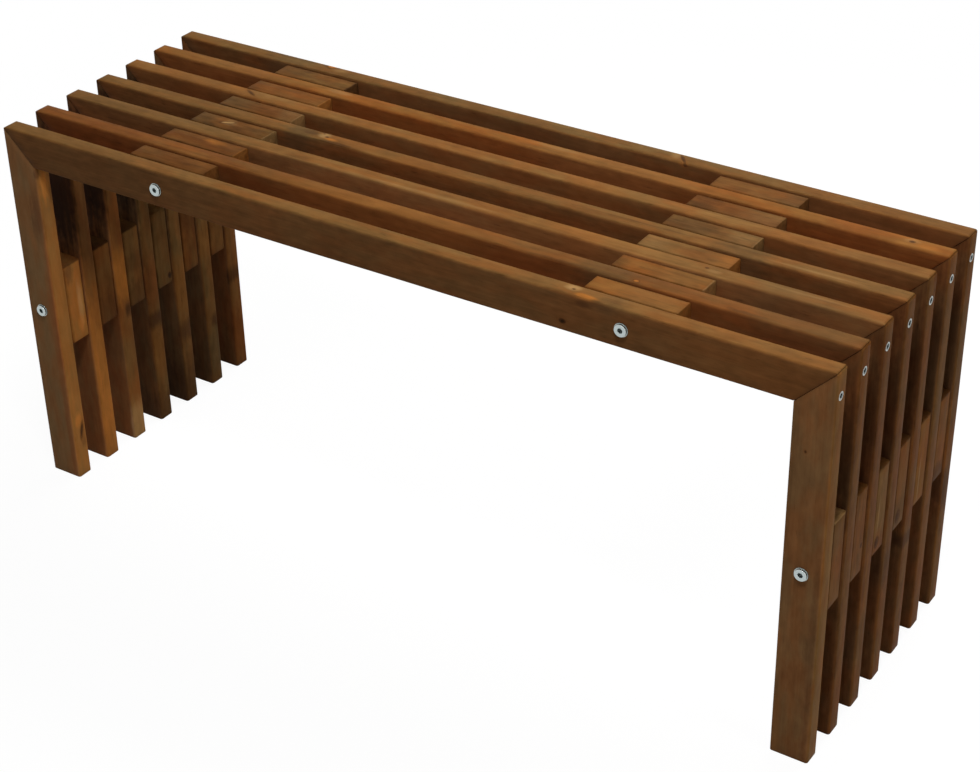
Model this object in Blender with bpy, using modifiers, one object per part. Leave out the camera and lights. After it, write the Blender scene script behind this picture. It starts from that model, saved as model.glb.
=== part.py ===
"""Slatted bench: mitred timber frames, spaced by blocks and drawn together by four tie rods.

The bench runs along X, its front faces -Y, and it stands on Z = 0 with the origin under its middle.
"""

import math

import bmesh
import bpy
from mathutils import Vector

# Overall sizes in metres
BENCH_LENGTH = 1.000
BENCH_HEIGHT = 0.450
FRAME_COUNT = 7
FRAME_GAP = 0.029

# Planed boards that make the rails and the legs
BOARD_WIDTH = 0.042
BOARD_THICKNESS = 0.021
BOARD_EDGE_RADIUS = 0.0025

# Spacer blocks between the frames, cut from slightly narrower stock
SPACER_LENGTH = 0.100
SPACER_WIDTH = 0.039
SPACER_EDGE_RADIUS = 0.002
SEAT_SPACER_SHIFT = -0.004

# Tie rods: distance of the seat's rods from the middle, height of the legs' rods
SEAT_ROD_OFFSET = 0.282
LEG_ROD_HEIGHT = 0.225
ROD_DIAMETER = 0.006
ROD_CHAMFER = 0.0006

# Sleeve nuts on the ends of the rods
NUT_HEAD_DIAMETER = 0.0148
NUT_HEAD_THICKNESS = 0.0028
NUT_HEAD_CHAMFER = 0.0008
NUT_BARREL_DIAMETER = 0.009
NUT_BARREL_LENGTH = 0.012
NUT_WEB = 0.0015
HEX_SOCKET_WIDTH = 0.005
HEX_SOCKET_DEPTH = 0.0032

# Countersunk screws that close each mitre, one through each leg into the rail's end
SCREW_DROP = 0.028
SCREW_HEAD_DIAMETER = 0.0096
SCREW_HEAD_HEIGHT = 0.0030
SCREW_SHANK_DIAMETER = 0.0045
SCREW_PILOT_DIAMETER = 0.0030
SCREW_LENGTH = 0.060

# Room between touching pieces, and how far a cutter runs past the face that it opens
FIT_CLEARANCE = 0.0003
CUTTER_OVERRUN = 0.002

# Facets of round and rounded shapes
EDGE_SEGMENTS = 3
BORE_STEPS = 12
NUT_STEPS = 24
HEX_SIDES = 6
SMOOTH_ANGLE = math.radians(35.0)
MERGE_DISTANCE = 0.00001

# Stained pine: tones from the lightest board to the darkest, as linear colours
HONEY_BROWN = (0.150, 0.082, 0.030)
WARM_BROWN = (0.112, 0.056, 0.021)
RED_BROWN = (0.092, 0.040, 0.018)
GREY_BROWN = (0.085, 0.054, 0.032)
RAIL_TONES = (WARM_BROWN, GREY_BROWN, HONEY_BROWN, GREY_BROWN, WARM_BROWN, HONEY_BROWN, HONEY_BROWN)
LEG_TONES = (RED_BROWN, WARM_BROWN, RED_BROWN, GREY_BROWN, WARM_BROWN, RED_BROWN, WARM_BROWN)
SPACER_TONES = (WARM_BROWN, HONEY_BROWN, RED_BROWN)
WOOD_ROUGHNESS = 0.55
ZINC_COLOUR = (0.62, 0.64, 0.66)
ZINC_ROUGHNESS = 0.28

# Values that follow from the sizes above
FRAME_PITCH = BOARD_THICKNESS + FRAME_GAP
BENCH_DEPTH = (FRAME_COUNT - 1) * FRAME_PITCH + BOARD_THICKNESS
SPACER_THICKNESS = FRAME_GAP - 2 * FIT_CLEARANCE
NUT_BORE_DEPTH = NUT_BARREL_LENGTH + NUT_HEAD_THICKNESS - HEX_SOCKET_DEPTH - NUT_WEB
ROD_LENGTH = BENCH_DEPTH + 2 * (NUT_BORE_DEPTH - NUT_BARREL_LENGTH)
MITRE_SETBACK = FIT_CLEARANCE / math.sqrt(2.0)


def clear_scene():
    """Remove whatever the open file holds, so that the bench stands alone."""
    for leftover in list(bpy.data.objects):
        bpy.data.objects.remove(leftover, do_unlink=True)


def new_collection(name):
    """Add a collection to the scene and return it."""
    collection = bpy.data.collections.new(name)
    bpy.context.scene.collection.children.link(collection)
    return collection


def add_object(name, mesh, collection, parent, location=(0.0, 0.0, 0.0), rotation=(0.0, 0.0, 0.0)):
    """Put a mesh, or an empty if mesh is None, into a collection under its parent."""
    thing = bpy.data.objects.new(name, mesh)
    collection.objects.link(thing)
    thing.parent = parent
    thing.location = location
    thing.rotation_euler = rotation
    return thing


def finish_material(name, colour, roughness, metallic):
    """Make a plain material for one piece."""
    material = bpy.data.materials.new(name)
    material.use_nodes = True
    shader = material.node_tree.nodes["Principled BSDF"]
    shader.inputs["Base Color"].default_value = (*colour, 1.0)
    shader.inputs["Roughness"].default_value = roughness
    shader.inputs["Metallic"].default_value = metallic
    material.diffuse_color = (*colour, 1.0)
    return material


def stain(piece, tone):
    """Give a board or a block its own stained pine."""
    piece.material_slots[0].link = "OBJECT"
    piece.material_slots[0].material = finish_material(f"{piece.name}_pine", tone, WOOD_ROUGHNESS, 0.0)


def plate_with_zinc(piece):
    """Give a rod or a nut its own zinc plating."""
    piece.material_slots[0].link = "OBJECT"
    piece.material_slots[0].material = finish_material(f"{piece.name}_zinc", ZINC_COLOUR, ZINC_ROUGHNESS, 1.0)


def shade_round(mesh):
    """Shade the curved faces smooth and keep the real edges sharp."""
    mesh.shade_smooth()
    mesh.set_sharp_from_angle(angle=SMOOTH_ANGLE)


def board_mesh(name, length, width, thickness, edge_radius, mitres=(False, False)):
    """Make a board along X, its outer edge on Z = 0, with its long edges rounded.

    A mitre cuts the end at 45 degrees, so that the inner edge on -Z is the shorter one.
    """
    shape = bmesh.new()
    bmesh.ops.create_cube(shape, size=1.0)
    for vertex in shape.verts:
        vertex.co.x = (vertex.co.x + 0.5) * length
        vertex.co.y *= thickness
        vertex.co.z = (vertex.co.z - 0.5) * width
    along = Vector((1.0, 0.0, 0.0))
    long_edges = [
        edge for edge in shape.edges
        if abs((edge.verts[1].co - edge.verts[0].co).normalized().dot(along)) > 0.5
    ]
    for vertex in shape.verts:
        at_far_end = vertex.co.x > length / 2
        if mitres[at_far_end]:
            inward = -1.0 if at_far_end else 1.0
            vertex.co.x += inward * (MITRE_SETBACK - vertex.co.z)
    bmesh.ops.bevel(
        shape, geom=long_edges, offset=edge_radius, segments=EDGE_SEGMENTS,
        profile=0.5, affect="EDGES", clamp_overlap=True,
    )
    bmesh.ops.recalc_face_normals(shape, faces=shape.faces)
    mesh = bpy.data.meshes.new(name)
    shape.to_mesh(mesh)
    shape.free()
    mesh.materials.append(None)
    shade_round(mesh)
    return mesh


def turned_mesh(name, profile):
    """Make the wire profile of a turned piece, as points of radius and height, top to bottom."""
    mesh = bpy.data.meshes.new(name)
    points = [(radius, 0.0, height) for radius, height in profile]
    lines = [(start, start + 1) for start in range(len(points) - 1)]
    mesh.from_pydata(points, lines, [])
    mesh.materials.append(None)
    return mesh


def turn(piece, steps):
    """Spin a profile once around its own Z axis into a closed solid."""
    screw = piece.modifiers.new("turned", "SCREW")
    screw.axis = "Z"
    screw.angle = 2 * math.pi
    screw.screw_offset = 0.0
    screw.steps = steps
    screw.render_steps = steps
    screw.use_merge_vertices = True
    screw.merge_threshold = MERGE_DISTANCE
    screw.use_smooth_shade = False


def cut(piece, cutter):
    """Subtract a cutter from a piece."""
    hole = piece.modifiers.new(cutter.name, "BOOLEAN")
    hole.operation = "DIFFERENCE"
    hole.solver = "EXACT"
    hole.object = cutter


def hide_cutter(cutter):
    """Show a cutter as wire only."""
    cutter.hide_render = True
    cutter.display_type = "WIRE"


def rod_bore_profile():
    """Outline a tie rod's hole across the bench, wider at both ends for the nuts' barrels."""
    outside = BENCH_DEPTH / 2 + CUTTER_OVERRUN
    shoulder = BENCH_DEPTH / 2 - NUT_BARREL_LENGTH - FIT_CLEARANCE
    barrel_radius = NUT_BARREL_DIAMETER / 2 + FIT_CLEARANCE
    rod_radius = ROD_DIAMETER / 2 + FIT_CLEARANCE
    half = [(0.0, outside), (barrel_radius, outside), (barrel_radius, shoulder), (rod_radius, shoulder)]
    return half + [(radius, -height) for radius, height in reversed(half)]


def screw_bore_profile():
    """Outline a countersunk screw's hole, with height 0 on the leg's outer face."""
    head_radius = SCREW_HEAD_DIAMETER / 2 + FIT_CLEARANCE
    shank_radius = SCREW_SHANK_DIAMETER / 2 + FIT_CLEARANCE
    pilot_radius = SCREW_PILOT_DIAMETER / 2 + FIT_CLEARANCE
    pilot_start = -(SCREW_DROP + SCREW_SHANK_DIAMETER)
    pilot_end = -(SCREW_LENGTH + FIT_CLEARANCE)
    return [
        (0.0, CUTTER_OVERRUN),
        (head_radius, CUTTER_OVERRUN),
        (head_radius, 0.0),
        (shank_radius, -SCREW_HEAD_HEIGHT),
        (shank_radius, pilot_start),
        (pilot_radius, pilot_start),
        (pilot_radius, pilot_end),
        (0.0, pilot_end),
    ]


def rod_profile():
    """Outline a tie rod with chamfered ends."""
    radius = ROD_DIAMETER / 2
    end = ROD_LENGTH / 2
    half = [(0.0, end), (radius - ROD_CHAMFER, end), (radius, end - ROD_CHAMFER)]
    return half + [(point, -height) for point, height in reversed(half)]


def nut_profile():
    """Outline a sleeve nut, with height 0 under its head and the barrel below."""
    head_radius = NUT_HEAD_DIAMETER / 2
    barrel_radius = NUT_BARREL_DIAMETER / 2
    bore_radius = ROD_DIAMETER / 2 + FIT_CLEARANCE
    bore_end = NUT_BORE_DEPTH - NUT_BARREL_LENGTH
    return [
        (0.0, NUT_HEAD_THICKNESS),
        (head_radius - NUT_HEAD_CHAMFER, NUT_HEAD_THICKNESS),
        (head_radius, NUT_HEAD_THICKNESS - NUT_HEAD_CHAMFER),
        (head_radius, 0.0),
        (barrel_radius, 0.0),
        (barrel_radius, -NUT_BARREL_LENGTH),
        (bore_radius, -NUT_BARREL_LENGTH),
        (bore_radius, bore_end),
        (0.0, bore_end),
    ]


def hex_socket_mesh():
    """Make the six-sided cutter of a nut's socket, its lower end at the socket's floor."""
    shape = bmesh.new()
    height = HEX_SOCKET_DEPTH + CUTTER_OVERRUN
    corner_radius = HEX_SOCKET_WIDTH / 2 / math.cos(math.pi / HEX_SIDES)
    bmesh.ops.create_cone(
        shape, cap_ends=True, segments=HEX_SIDES, radius1=corner_radius, radius2=corner_radius, depth=height
    )
    bmesh.ops.translate(shape, verts=shape.verts, vec=(0.0, 0.0, height / 2))
    mesh = bpy.data.meshes.new("hex_socket")
    shape.to_mesh(mesh)
    shape.free()
    return mesh


def add_stations(bench, parts, cutters):
    """Place an empty and a bore on each of the four tie rods' axes."""
    rail_axis = BENCH_HEIGHT - BOARD_WIDTH / 2
    leg_axis = BENCH_LENGTH / 2 - BOARD_WIDTH / 2
    places = {
        "seat_left": (-SEAT_ROD_OFFSET, rail_axis),
        "seat_right": (SEAT_ROD_OFFSET, rail_axis),
        "left_leg": (-leg_axis, LEG_ROD_HEIGHT),
        "right_leg": (leg_axis, LEG_ROD_HEIGHT),
    }
    bore_mesh = turned_mesh("rod_bore", rod_bore_profile())
    stations = {}
    for name, (across, height) in places.items():
        station = add_object(f"{name}_station", None, parts, bench, (across, 0.0, height))
        bore = add_object(f"{name}_bore", bore_mesh, cutters, station, rotation=(math.pi / 2, 0.0, 0.0))
        turn(bore, BORE_STEPS)
        hide_cutter(bore)
        stations[name] = (station, bore)
    return stations


def add_frames(bench, stations, parts, cutters):
    """Build the mitred frames: a rail on two legs each, bored for their rods and screws."""
    board = (BOARD_WIDTH, BOARD_THICKNESS, BOARD_EDGE_RADIUS)
    rail_mesh = board_mesh("rail", BENCH_LENGTH, *board, mitres=(True, True))
    leg_mesh = board_mesh("leg", BENCH_HEIGHT, *board, mitres=(False, True))
    screw_mesh = turned_mesh("screw_bore", screw_bore_profile())
    half = BENCH_LENGTH / 2
    upright = -math.pi / 2
    sides = {"left": (-half, 0.0), "right": (half, math.pi)}
    for index in range(FRAME_COUNT):
        number = index + 1
        depth = (index - (FRAME_COUNT - 1) / 2) * FRAME_PITCH
        frame = add_object(f"frame_{number}", None, parts, bench, (0.0, depth, 0.0))
        rail = add_object(f"rail_{number}", rail_mesh, parts, frame, (-half, 0.0, BENCH_HEIGHT))
        stain(rail, RAIL_TONES[index % len(RAIL_TONES)])
        cut(rail, stations["seat_left"][1])
        cut(rail, stations["seat_right"][1])
        for side, (across, facing) in sides.items():
            leg = add_object(
                f"{side}_leg_{number}", leg_mesh, parts, frame, (across, 0.0, 0.0), (0.0, upright, facing)
            )
            bore = add_object(
                f"{side}_screw_bore_{number}", screw_mesh, cutters, frame,
                (across, 0.0, BENCH_HEIGHT - SCREW_DROP), (0.0, upright, facing),
            )
            turn(bore, BORE_STEPS)
            hide_cutter(bore)
            stain(leg, LEG_TONES[index % len(LEG_TONES)])
            cut(leg, stations[f"{side}_leg"][1])
            cut(leg, bore)
            cut(rail, bore)


def add_spacers(stations, parts):
    """Fill each gap between the frames with four drilled blocks, one on each rod."""
    mesh = board_mesh("spacer", SPACER_LENGTH, SPACER_WIDTH, SPACER_THICKNESS, SPACER_EDGE_RADIUS)
    lying = (SEAT_SPACER_SHIFT - SPACER_LENGTH / 2, SPACER_WIDTH / 2, 0.0)
    standing = (-SPACER_WIDTH / 2, -SPACER_LENGTH / 2, -math.pi / 2)
    for name, (station, bore) in stations.items():
        across, up, tilt = lying if name.startswith("seat") else standing
        for index in range(FRAME_COUNT - 1):
            depth = (index - (FRAME_COUNT - 2) / 2) * FRAME_PITCH
            spacer = add_object(
                f"{name}_spacer_{index + 1}", mesh, parts, station, (across, depth, up), (0.0, tilt, 0.0)
            )
            stain(spacer, SPACER_TONES[index % len(SPACER_TONES)])
            cut(spacer, bore)


def add_fasteners(stations, parts, cutters):
    """Run a tie rod through each station and close it with a sleeve nut at the front and the rear."""
    rod_mesh = turned_mesh("tie_rod", rod_profile())
    nut_mesh = turned_mesh("sleeve_nut", nut_profile())
    socket_mesh = hex_socket_mesh()
    seat = BENCH_DEPTH / 2 + FIT_CLEARANCE
    socket_floor = NUT_HEAD_THICKNESS - HEX_SOCKET_DEPTH
    ends = {"front": (-seat, math.pi / 2), "rear": (seat, -math.pi / 2)}
    for name, (station, _) in stations.items():
        rod = add_object(f"{name}_tie_rod", rod_mesh, parts, station, rotation=(math.pi / 2, 0.0, 0.0))
        turn(rod, BORE_STEPS)
        plate_with_zinc(rod)
        for end, (depth, facing) in ends.items():
            nut = add_object(
                f"{name}_{end}_nut", nut_mesh, parts, station, (0.0, depth, 0.0), (facing, 0.0, 0.0)
            )
            turn(nut, NUT_STEPS)
            plate_with_zinc(nut)
            socket = add_object(f"{name}_{end}_socket", socket_mesh, cutters, nut, (0.0, 0.0, socket_floor))
            hide_cutter(socket)
            cut(nut, socket)


def main():
    """Build the bench."""
    clear_scene()
    parts = new_collection("slatted_bench")
    cutters = new_collection("bench_cutters")
    bench = add_object("bench_origin", None, parts, None)
    stations = add_stations(bench, parts, cutters)
    add_frames(bench, stations, parts, cutters)
    add_spacers(stations, parts)
    add_fasteners(stations, parts, cutters)


main()
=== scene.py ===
"""Slatted bench: the looks of its stained pine and zinc-plated fasteners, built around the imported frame.

Boards and blocks are made lying along their own X, outer edge on Z = 0, so that their grain follows X.
"""

import math
import random
from typing import NamedTuple

import bmesh
import bpy
from bpy.props import FloatProperty, FloatVectorProperty, IntProperty, PointerProperty
from bpy.types import Operator, Panel, PropertyGroup
from mathutils import Euler, Matrix, Vector, noise


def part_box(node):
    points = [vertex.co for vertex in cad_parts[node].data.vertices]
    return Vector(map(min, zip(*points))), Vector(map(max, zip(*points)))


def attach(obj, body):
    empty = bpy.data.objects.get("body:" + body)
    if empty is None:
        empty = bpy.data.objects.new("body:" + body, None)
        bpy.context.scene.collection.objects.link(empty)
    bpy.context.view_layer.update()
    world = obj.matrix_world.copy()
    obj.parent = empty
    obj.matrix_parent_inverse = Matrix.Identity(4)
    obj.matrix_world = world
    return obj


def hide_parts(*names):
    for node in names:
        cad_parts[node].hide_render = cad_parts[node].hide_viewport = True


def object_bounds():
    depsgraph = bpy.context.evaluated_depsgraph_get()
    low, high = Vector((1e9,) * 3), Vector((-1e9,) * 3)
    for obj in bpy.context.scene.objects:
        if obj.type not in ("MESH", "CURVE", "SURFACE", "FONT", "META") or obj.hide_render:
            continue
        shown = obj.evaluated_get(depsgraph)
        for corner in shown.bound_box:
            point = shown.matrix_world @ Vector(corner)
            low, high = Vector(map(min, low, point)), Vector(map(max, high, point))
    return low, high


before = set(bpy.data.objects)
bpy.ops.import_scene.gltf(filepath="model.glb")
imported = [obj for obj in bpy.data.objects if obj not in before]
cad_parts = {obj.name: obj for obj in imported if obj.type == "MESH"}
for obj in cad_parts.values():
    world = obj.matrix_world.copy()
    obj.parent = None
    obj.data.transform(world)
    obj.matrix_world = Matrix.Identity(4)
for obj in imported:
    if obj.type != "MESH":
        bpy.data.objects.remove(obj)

bl_info = {
    "name": "Slatted Bench",
    "version": (1, 0, 0),
    "blender": (4, 5, 0),
    "location": "3D View > Sidebar > Bench",
    "description": "Builds a stained pine slatted bench with zinc-plated nuts and screws in a studio",
    "category": "Add Mesh",
}

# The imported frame: the bench's box, its sides and the sizes of its boards and fasteners
CAD_LOW, CAD_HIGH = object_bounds()
FRAME_NUMBERS = range(1, 8)
GAP_NUMBERS = range(1, 7)
SEAT_STATIONS = ("seat_left", "seat_right")
LEG_STATIONS = ("left_leg", "right_leg")
SIDES = {"left": CAD_LOW.x, "right": CAD_HIGH.x}
BENCH_LENGTH, BENCH_DEPTH = (CAD_HIGH - CAD_LOW).xy
BENCH_HEIGHT = CAD_HIGH.z
RAIL_LOW, RAIL_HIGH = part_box("rail_1")
BOARD_WIDTH = RAIL_HIGH.z - RAIL_LOW.z
BOARD_THICKNESS = RAIL_HIGH.y - RAIL_LOW.y
MITRE_SETBACK = RAIL_LOW.x - CAD_LOW.x
TIMBER_FRONT = RAIL_LOW.y
TIMBER_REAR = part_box("rail_7")[1].y
ROD_RADIUS = (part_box("seat_left_tie_rod")[1].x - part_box("seat_left_tie_rod")[0].x) / 2
NUT_HEAD_RADIUS = (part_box("seat_left_front_nut")[1].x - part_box("seat_left_front_nut")[0].x) / 2
NUT_SEAT_GAP = 0.0003
NUT_HEAD_THICKNESS = TIMBER_FRONT - NUT_SEAT_GAP - CAD_LOW.y

# Directions and turns
QUARTER = math.pi / 2
HALF_TURN = math.pi
FULL_TURN = 2 * math.pi


class Knot(NamedTuple):
    """A branch the saw met: a point on its axis, its lean, radius and heart's tone, its rim's darkness."""

    place: tuple
    lean: tuple
    radius: float
    heart: str
    rim: float


class Patch(NamedTuple):
    """A soft patch of another tone, where the stain took it or where light or shade is painted: its middle,
    its reaches, its tone and strength.
    """

    place: tuple
    reach: tuple
    tone: str
    strength: float


class Shade(NamedTuple):
    """A ring of a turned piece where its plating has another tone, for painted shade, a painted highlight or
    duller plating: between two radii and two heights.
    """

    inner: float
    outer: float
    bottom: float
    top: float
    tone: str


class Timber:
    """How one board looks: its tone, how light it is, and the knots and patches of its figure."""

    def __init__(self, tone, light, *figure):
        self.tone = tone
        self.light = light
        self.knots = [mark for mark in figure if isinstance(mark, Knot)]
        self.patches = [mark for mark in figure if isinstance(mark, Patch)]


# Directions of the branches in a board's own axes: across its edge, through its face, or slanting over both
DOWN = (0.0, 0.0, 1.0)
THROUGH = (0.0, 1.0, 0.0)
SLANT = (0.75, -0.6, -0.25)
STEEP = (0.5, -0.85, -0.15)

# Places on a board: its inner edge, a block's inner edge and the face that looks to the front
INNER = -BOARD_WIDTH
BLOCK_INNER = -0.039
FRONT = -BOARD_THICKNESS / 2

# Reaches of the patches: WHOLE covers a board from side to side
WHOLE = 9.0
EDGE_SOAK = 0.006
FACE_MIDDLE = 0.5
FACE_REACH = (1.6, 0.006, 0.05)
# How deep the painted shade in a leg's slot reaches into the leg, and its width
SLOT_SHADE_DEPTH = 0.007
SLOT_WIDTH = 0.06
# Where the painted light and shade of a block's far end lies, and how far it reaches
SAWN_END = 0.1005
SAWN_REACH = 0.003


def spot(along, through, length, thickness, depth, tone_name, strength):
    """A patch on the outer edge, which is the top of a rail or a seat block: its middle and its reaches."""
    return Patch((along, through, 0.0), (length, thickness, depth), tone_name, strength)


def band(along, reach, tone_name, strength):
    """A patch that goes all round the board."""
    return Patch((along, 0.0, 0.0), (reach, WHOLE, WHOLE), tone_name, strength)


def inner_edge(along, reach, tone_name, strength):
    """A patch on the inner edge of a leg."""
    return Patch((along, 0.0, INNER), (reach, WHOLE, EDGE_SOAK), tone_name, strength)


def broad_face(tone_name, strength):
    """A patch that covers the front of a rail."""
    return Patch((FACE_MIDDLE, FRONT, INNER / 2), FACE_REACH, tone_name, strength)


def painted_slot_shade(along, reach, front, strength):
    """Painted shade on a leg's front, deep in its slot."""
    return Patch((along, front, INNER / 2), (reach, SLOT_SHADE_DEPTH, SLOT_WIDTH), "bark", strength)


def end_light_and_shade(tone_name, strength):
    """Painted light and shade on a block's far end: a lighter or darker tone that stands in for how the
    light falls on that end.
    """
    return band(SAWN_END, SAWN_REACH, tone_name, strength)


# The rails from the front to the rear, measured from their left ends
RAILS = (
    Timber("honey", 0.96, Knot((0.724, 0.001, 0.0), DOWN, 0.0011, "umber", 0.5),
           Knot((0.718, -0.011, -0.031), THROUGH, 0.0022, "bark", 0.6), band(0.05, 0.34, "olive", 0.55),
           spot(0.723, 0.003, 0.012, 0.007, 0.005, "straw", 0.85),
           spot(0.742, -0.006, 0.017, 0.006, 0.005, "ember", 1.0),
           spot(0.737, -0.006, 0.01, 0.005, 0.004, "ember", 1.0),
           spot(0.755, -0.009, 0.01, 0.003, 0.006, "umber", 0.7), broad_face("olive", 0.45),
           spot(0.766, 0.0, 0.02, WHOLE, 0.014, "smoke", 0.45),
           Patch((0.706, FRONT, -0.035), (0.014, 0.01, 0.006), "honey", 0.5),
           Patch((0.74, FRONT, -0.006), (0.014, 0.008, 0.006), "umber", 0.5),
           band(0.92, 0.14, "amber", 0.35)),
    Timber("chestnut", 1.02, Knot((0.766, -0.005, 0.0), DOWN, 0.002, "ember", 0.3),
           band(0.08, 0.14, "russet", 0.55), band(0.29, 0.1, "umber", 0.22),
           band(0.47, 0.18, "amber", 0.75), band(0.735, 0.045, "smoke", 0.5),
           spot(0.68, -0.008, 0.05, 0.003, 0.006, "umber", 0.45),
           spot(0.885, -0.006, 0.03, 0.004, 0.006, "umber", 0.5), band(0.95, 0.09, "smoke", 0.35)),
    Timber("honey", 1.02, Knot((0.811, 0.002, 0.0), DOWN, 0.0012, "umber", 0.45), broad_face("straw", 0.2),
           band(0.14, 0.24, "olive", 0.75), spot(0.325, -0.004, 0.03, 0.006, WHOLE, "umber", 0.3),
           spot(0.5, -0.005, 0.15, 0.0035, 0.01, "straw", 0.3), band(0.66, 0.12, "amber", 0.45),
           spot(0.82, -0.001, 0.012, 0.005, 0.008, "straw", 0.35),
           spot(0.92, 0.003, 0.07, 0.0025, 0.008, "straw", 0.3), band(0.9, 0.06, "smoke", 0.35)),
    Timber("honey", 0.95, Knot((0.3235, 0.001, 0.0), DOWN, 0.0013, "umber", 0.5),
           Knot((0.316, 0.006, 0.0), DOWN, 0.0009, "umber", 0.4), broad_face("umber", 0.22),
           band(0.12, 0.2, "olive", 0.5), band(0.29, 0.03, "smoke", 0.75),
           spot(0.345, -0.007, 0.034, 0.004, 0.008, "umber", 0.75),
           spot(0.319, 0.003, 0.011, 0.008, 0.005, "straw", 0.9),
           spot(0.33, -0.002, 0.011, 0.004, 0.004, "ember", 0.9),
           spot(0.45, 0.0, 0.12, WHOLE, 0.02, "amber", 0.3),
           spot(0.54, -0.007, 0.04, 0.003, 0.006, "umber", 0.4),
           spot(0.71, 0.001, 0.11, 0.0015, 0.01, "umber", 0.3),
           spot(0.3, 0.003, 0.018, 0.01, 0.006, "umber", 0.35), band(0.825, 0.045, "smoke", 0.6),
           spot(0.9, -0.003, 0.07, 0.003, 0.008, "straw", 0.35)),
    Timber("honey", 1.07, Knot((0.179, 0.001, 0.0), SLANT, 0.0016, "umber", 0.4),
           Knot((0.597, 0.0, 0.001), THROUGH, 0.0006, "umber", 0.15), broad_face("umber", 0.25),
           band(0.1, 0.12, "chestnut", 0.5), spot(0.16, 0.004, 0.022, 0.007, 0.008, "ember", 0.3),
           spot(0.255, -0.007, 0.018, 0.004, 0.006, "amber", 0.5),
           spot(0.635, 0.0, 0.045, WHOLE, WHOLE, "amber", 0.35), band(0.96, 0.07, "chestnut", 0.5)),
    Timber("amber", 1.03, Knot((0.956, 0.001, 0.0), DOWN, 0.0018, "umber", 0.5), broad_face("russet", 0.45),
           band(0.62, 0.14, "honey", 0.55), band(0.1, 0.14, "honey", 0.5),
           spot(0.265, 0.003, 0.024, 0.007, 0.008, "straw", 0.4),
           spot(0.55, 0.004, 0.04, 0.005, 0.008, "straw", 0.25),
           spot(0.955, 0.003, 0.01, 0.006, 0.008, "straw", 0.45), band(0.9, 0.06, "russet", 0.35),
           spot(0.975, -0.002, 0.02, 0.01, 0.01, "ember", 0.35)),
    Timber("olive", 1.1, Knot((0.214, 0.009, 0.0), (0.2, 0.3, 1.0), 0.006, "ember", 0.45),
           Knot((0.677, 0.0, 0.0), STEEP, 0.0012, "umber", 0.45), broad_face("umber", 0.25),
           band(0.16, 0.05, "smoke", 0.6), spot(0.228, 0.004, 0.014, 0.008, 0.01, "straw", 0.35),
           band(0.46, 0.2, "smoke", 0.25), spot(0.668, 0.004, 0.01, 0.01, 0.01, "straw", 0.35),
           spot(0.682, -0.008, 0.008, 0.005, 0.008, "amber", 0.6), band(0.9, 0.16, "chestnut", 0.5)),
)

# The legs from the front to the rear, measured from their feet, with painted shade in the slots of most of
# them
RIGHT_SLOT_SHADE = (painted_slot_shade(0.34, 0.14, -FRONT, 0.42), painted_slot_shade(0.09, 0.09, -FRONT, 0.16))
# The orange on the inner faces of the front left legs, and their extra lightness, is partly the wood's tone
# and partly painted light that falls there from the right under the seat
LEFT_LEGS = (
    Timber("olive", 1.7, Knot((0.06, 0.003, INNER), (0.9, 0.3, 0.3), 0.0022, "umber", 0.4),
           inner_edge(0.16, 0.34, "ember", 0.3),
           Patch((0.385, 0.0, INNER), (0.03, 0.009, 0.006), "ember", 0.65),
           Patch((0.402, -0.009, INNER), (0.01, 0.004, 0.006), "umber", 0.85),
           Patch((0.075, 0.0, INNER), (0.014, 0.008, 0.005), "ember", 0.55),
           Patch((0.22, FRONT, INNER), (0.16, 0.0035, 0.008), "russet", 0.75),
           Patch((0.345, FRONT, -0.034), (0.045, 0.012, 0.012), "umber", 0.55),
           Patch((0.13, FRONT, -0.036), (0.26, 0.006, 0.007), "russet", 0.5),
           Patch((0.045, 0.004, INNER), (0.014, 0.006, 0.006), "umber", 0.45)),
    Timber("chestnut", 1.25, inner_edge(0.1, 0.18, "ember", 0.62), inner_edge(0.32, 0.1, "umber", 0.45),
           painted_slot_shade(0.37, 0.15, FRONT, 0.86)),
    Timber("chestnut", 1.25, painted_slot_shade(0.37, 0.15, FRONT, 0.86), inner_edge(0.225, 0.05, "ember", 0.85),
           Patch((0.176, 0.005, INNER), (0.014, 0.007, 0.006), "umber", 0.9),
           inner_edge(0.12, 0.04, "olive", 0.6), inner_edge(0.015, 0.05, "straw", 0.5)),
    Timber("olive", 0.95, painted_slot_shade(0.37, 0.15, FRONT, 0.86), inner_edge(0.1, 0.05, "amber", 0.8),
           inner_edge(0.19, 0.05, "russet", 0.7), inner_edge(0.14, 0.015, "umber", 0.8),
           band(0.01, 0.04, "umber", 0.6)),
    Timber("olive", 0.95, painted_slot_shade(0.37, 0.15, FRONT, 0.8), inner_edge(0.16, 0.06, "amber", 0.9),
           inner_edge(0.1, 0.02, "umber", 0.7), band(0.02, 0.06, "umber", 0.6)),
    Timber("olive", 0.92, inner_edge(0.04, 0.05, "smoke", 0.7), inner_edge(0.2, 0.04, "amber", 0.7),
           Patch((0.088, 0.003, INNER), (0.014, 0.008, 0.006), "umber", 0.8)),
    Timber("chestnut", 0.95, inner_edge(0.05, 0.06, "russet", 0.8), inner_edge(0.3, 0.2, "chestnut", 0.6),
           inner_edge(0.133, 0.015, "umber", 0.8)),
)
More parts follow.
